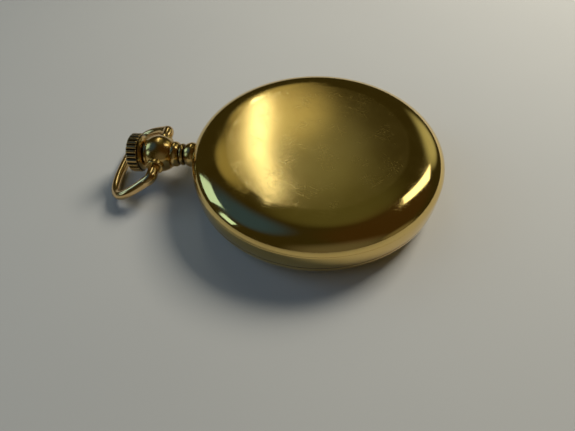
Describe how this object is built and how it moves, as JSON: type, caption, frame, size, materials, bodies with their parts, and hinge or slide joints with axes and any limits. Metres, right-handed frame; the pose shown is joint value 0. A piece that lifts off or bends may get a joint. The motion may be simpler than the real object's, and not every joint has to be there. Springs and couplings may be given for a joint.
{
  "type": "open-face pocket watch",
  "caption": "Open-face pocket watch lying dial down: round polished case, ringed pendant with fluted crown and swinging bow, and a stem-wound lever movement.",
  "frame": {"origin": "centre of the crystal's flat face, the face the watch lies on", "axes": "+Z through the case to the back cover, +Y along the pendant to the crown (12 o'clock), and the dial faces -Z"},
  "size_m": [0.05, 0.0684, 0.0121],
  "materials": {
    "gold": "polished yellow gold",
    "rose_gold": "polished, a redder gold",
    "nickel": "striped nickel",
    "brass": "gilt",
    "steel": "polished steel",
    "blued_steel": "heat-blued steel",
    "ruby": "polished synthetic ruby",
    "enamel": "fired white enamel",
    "glass": "clear"
  },
  "bodies": {
    "case": {"case_centre": "gold", "bezel": "gold", "crystal": "glass", "pendant": "gold", "pendant_sleeve": "steel", "main_plate": "nickel", "barrel_bridge": "nickel", "train_bridge": "nickel", "pallet_cock": "nickel", "balance_cock": "nickel", "third_jewel": "ruby", "fourth_jewel": "ruby", "escape_jewel": "ruby", "balance_jewel": "ruby", "barrel_bridge_screw_1": "blued_steel", "barrel_bridge_screw_2": "blued_steel", "train_bridge_screw_1": "blued_steel", "train_bridge_screw_2": "blued_steel", "pallet_cock_screw": "blued_steel", "balance_cock_screw": "blued_steel", "case_screw_1": "blued_steel", "case_screw_2": "blued_steel", "dial": "enamel", "hairspring": "blued_steel", "click_spring": "steel"},
    "back": {"back_cover": "gold"},
    "bow": {"bow": "rose_gold"},
    "stem": {"case_stem": "steel"},
    "crown": {"crown": "rose_gold"},
    "winding_arbor": {"winding_arbor": "steel", "winding_pinion": "steel"},
    "clutch": {"clutch": "steel"},
    "crown_wheel": {"transfer_wheel": "steel", "crown_wheel": "steel", "crown_wheel_screw": "blued_steel"},
    "ratchet": {"barrel_arbor": "steel", "ratchet_wheel": "steel", "ratchet_screw": "blued_steel"},
    "click": {"click": "steel"},
    "barrel": {"barrel": "brass", "barrel_cover": "brass", "mainspring": "steel"},
    "centre_wheel": {"centre_wheel": "brass", "cannon_pinion": "steel", "minute_hand": "blued_steel"},
    "third_wheel": {"third_wheel": "brass"},
    "fourth_wheel": {"fourth_wheel": "brass", "seconds_hand": "blued_steel"},
    "escape_wheel": {"escape_wheel": "steel"},
    "pallet_fork": {"pallet_fork": "steel"},
    "balance": {"balance_wheel": "brass", "balance_staff": "steel"},
    "minute_wheel": {"minute_wheel": "brass"},
    "hour_wheel": {"hour_wheel": "brass", "hour_hand": "blued_steel"},
    "setting_idler": {"setting_idler": "steel"},
    "setting_wheel": {"setting_wheel": "steel"},
    "setting_lever": {"setting_lever": "steel"},
    "clutch_lever": {"clutch_lever": "steel"},
    "regulator": {"regulator": "steel"}
  },
  "joints": [
    {"name": "back_cover_lift", "type": "slide", "parent": "case", "child": "back", "axis": [0, 0, 1], "range_m": [0, 0.015]},
    {"name": "bow_swing", "type": "hinge", "parent": "case", "child": "bow", "pos_m": [0, 0.0328, 0.0059], "axis": [1, 0, 0], "range_deg": [0, 166]},
    {"name": "crown_pull", "type": "slide", "parent": "case", "child": "stem", "axis": [0, 1, 0], "range_m": [0, 0.001]},
    {"name": "crown_turn", "type": "hinge", "parent": "stem", "child": "crown", "pos_m": [0, 0.038, 0.0059], "axis": [0, 1, 0], "continuous": true},
    {"name": "winding_arbor_turn", "type": "hinge", "parent": "case", "child": "winding_arbor", "pos_m": [0, 0.016, 0.0059], "axis": [0, 1, 0], "continuous": true},
    {"name": "clutch_slide", "type": "slide", "parent": "winding_arbor", "child": "clutch", "axis": [0, -1, 0], "range_m": [0, 0.001]},
    {"name": "crown_wheel_turn", "type": "hinge", "parent": "case", "child": "crown_wheel", "pos_m": [0, 0.01338, 0.0095], "axis": [0, 0, 1], "continuous": true},
    {"name": "ratchet_turn", "type": "hinge", "parent": "case", "child": "ratchet", "pos_m": [-0.00626, 0.00626, 0.0095], "axis": [0, 0, 1], "continuous": true},
    {"name": "click_rock", "type": "hinge", "parent": "case", "child": "click", "pos_m": [-0.00749, 0.01323, 0.0098], "axis": [0, 0, 1], "range_deg": [0, 12]},
    {"name": "barrel_turn", "type": "hinge", "parent": "case", "child": "barrel", "pos_m": [-0.00626, 0.00626, 0.007], "axis": [0, 0, 1], "continuous": true},
    {"name": "centre_turn", "type": "hinge", "parent": "case", "child": "centre_wheel", "pos_m": [0, 0, 0.007], "axis": [0, 0, 1], "continuous": true},
    {"name": "third_turn", "type": "hinge", "parent": "case", "child": "third_wheel", "pos_m": [0.00417, -0.00546, 0.007], "axis": [0, 0, 1], "continuous": true},
    {"name": "fourth_turn", "type": "hinge", "parent": "case", "child": "fourth_wheel", "pos_m": [0, -0.0095, 0.007], "axis": [0, 0, 1], "continuous": true},
    {"name": "escape_turn", "type": "hinge", "parent": "case", "child": "escape_wheel", "pos_m": [-0.0049, -0.01036, 0.007], "axis": [0, 0, 1], "continuous": true},
    {"name": "minute_wheel_turn", "type": "hinge", "parent": "case", "child": "minute_wheel", "pos_m": [0.00152, 0.00285, 0.004], "axis": [0, 0, 1], "continuous": true},
    {"name": "hour_turn", "type": "hinge", "parent": "case", "child": "hour_wheel", "pos_m": [0, 0, 0.0036], "axis": [0, 0, 1], "continuous": true},
    {"name": "setting_idler_turn", "type": "hinge", "parent": "case", "child": "setting_idler", "pos_m": [0.00127, 0.00639, 0.004], "axis": [0, 0, 1], "continuous": true},
    {"name": "setting_wheel_turn", "type": "hinge", "parent": "case", "child": "setting_wheel", "pos_m": [0.00071, 0.01038, 0.004], "axis": [0, 0, 1], "continuous": true},
    {"name": "balance_swing", "type": "hinge", "parent": "case", "child": "balance", "pos_m": [-0.0118, -0.00458, 0.009], "axis": [0, 0, 1], "range_deg": [-135, 135], "stiffness_Nm_per_rad": 0.000001},
    {"name": "fork_rock", "type": "hinge", "parent": "case", "child": "pallet_fork", "pos_m": [-0.0082, -0.0076, 0.0075], "axis": [0, 0, 1], "range_deg": [-4, 4]},
    {"name": "setting_lever_rock", "type": "hinge", "parent": "case", "child": "setting_lever", "pos_m": [0.0072, 0.01708, 0.0037], "axis": [0, 0, 1], "range_deg": [-14, 0]},
    {"name": "clutch_lever_rock", "type": "hinge", "parent": "case", "child": "clutch_lever", "pos_m": [-0.0083, 0.01378, 0.0037], "axis": [0, 0, 1], "range_deg": [-11, 0]},
    {"name": "regulator_turn", "type": "hinge", "parent": "case", "child": "regulator", "pos_m": [-0.0118, -0.00458, 0.0102], "axis": [0, 0, 1], "range_deg": [-12, 12]}
  ],
  "couplings": [
    {"joint": "winding_arbor_turn", "follows": "crown_turn", "ratio": 1},
    {"joint": "crown_wheel_turn", "follows": "crown_turn", "ratio": -0.59091},
    {"joint": "ratchet_turn", "follows": "crown_turn", "ratio": 0.40625},
    {"joint": "clutch_slide", "follows": "crown_pull", "ratio": 1},
    {"joint": "setting_lever_rock", "follows": "crown_pull", "rad_per_m": -238},
    {"joint": "clutch_lever_rock", "follows": "crown_pull", "rad_per_m": -185},
    {"joint": "barrel_turn", "follows": "fourth_turn", "ratio": -0.0027778},
    {"joint": "centre_turn", "follows": "fourth_turn", "ratio": 0.016667},
    {"joint": "third_turn", "follows": "fourth_turn", "ratio": -0.13333},
    {"joint": "escape_turn", "follows": "fourth_turn", "ratio": -10},
    {"joint": "minute_wheel_turn", "follows": "fourth_turn", "ratio": -0.0055556},
    {"joint": "hour_turn", "follows": "fourth_turn", "ratio": 0.0013889},
    {"joint": "setting_idler_turn", "follows": "fourth_turn", "ratio": 0.011905},
    {"joint": "setting_wheel_turn", "follows": "fourth_turn", "ratio": -0.0046296},
    {"joint": "fork_rock", "follows": "balance_swing", "ratio": 0.02963}
  ]
}
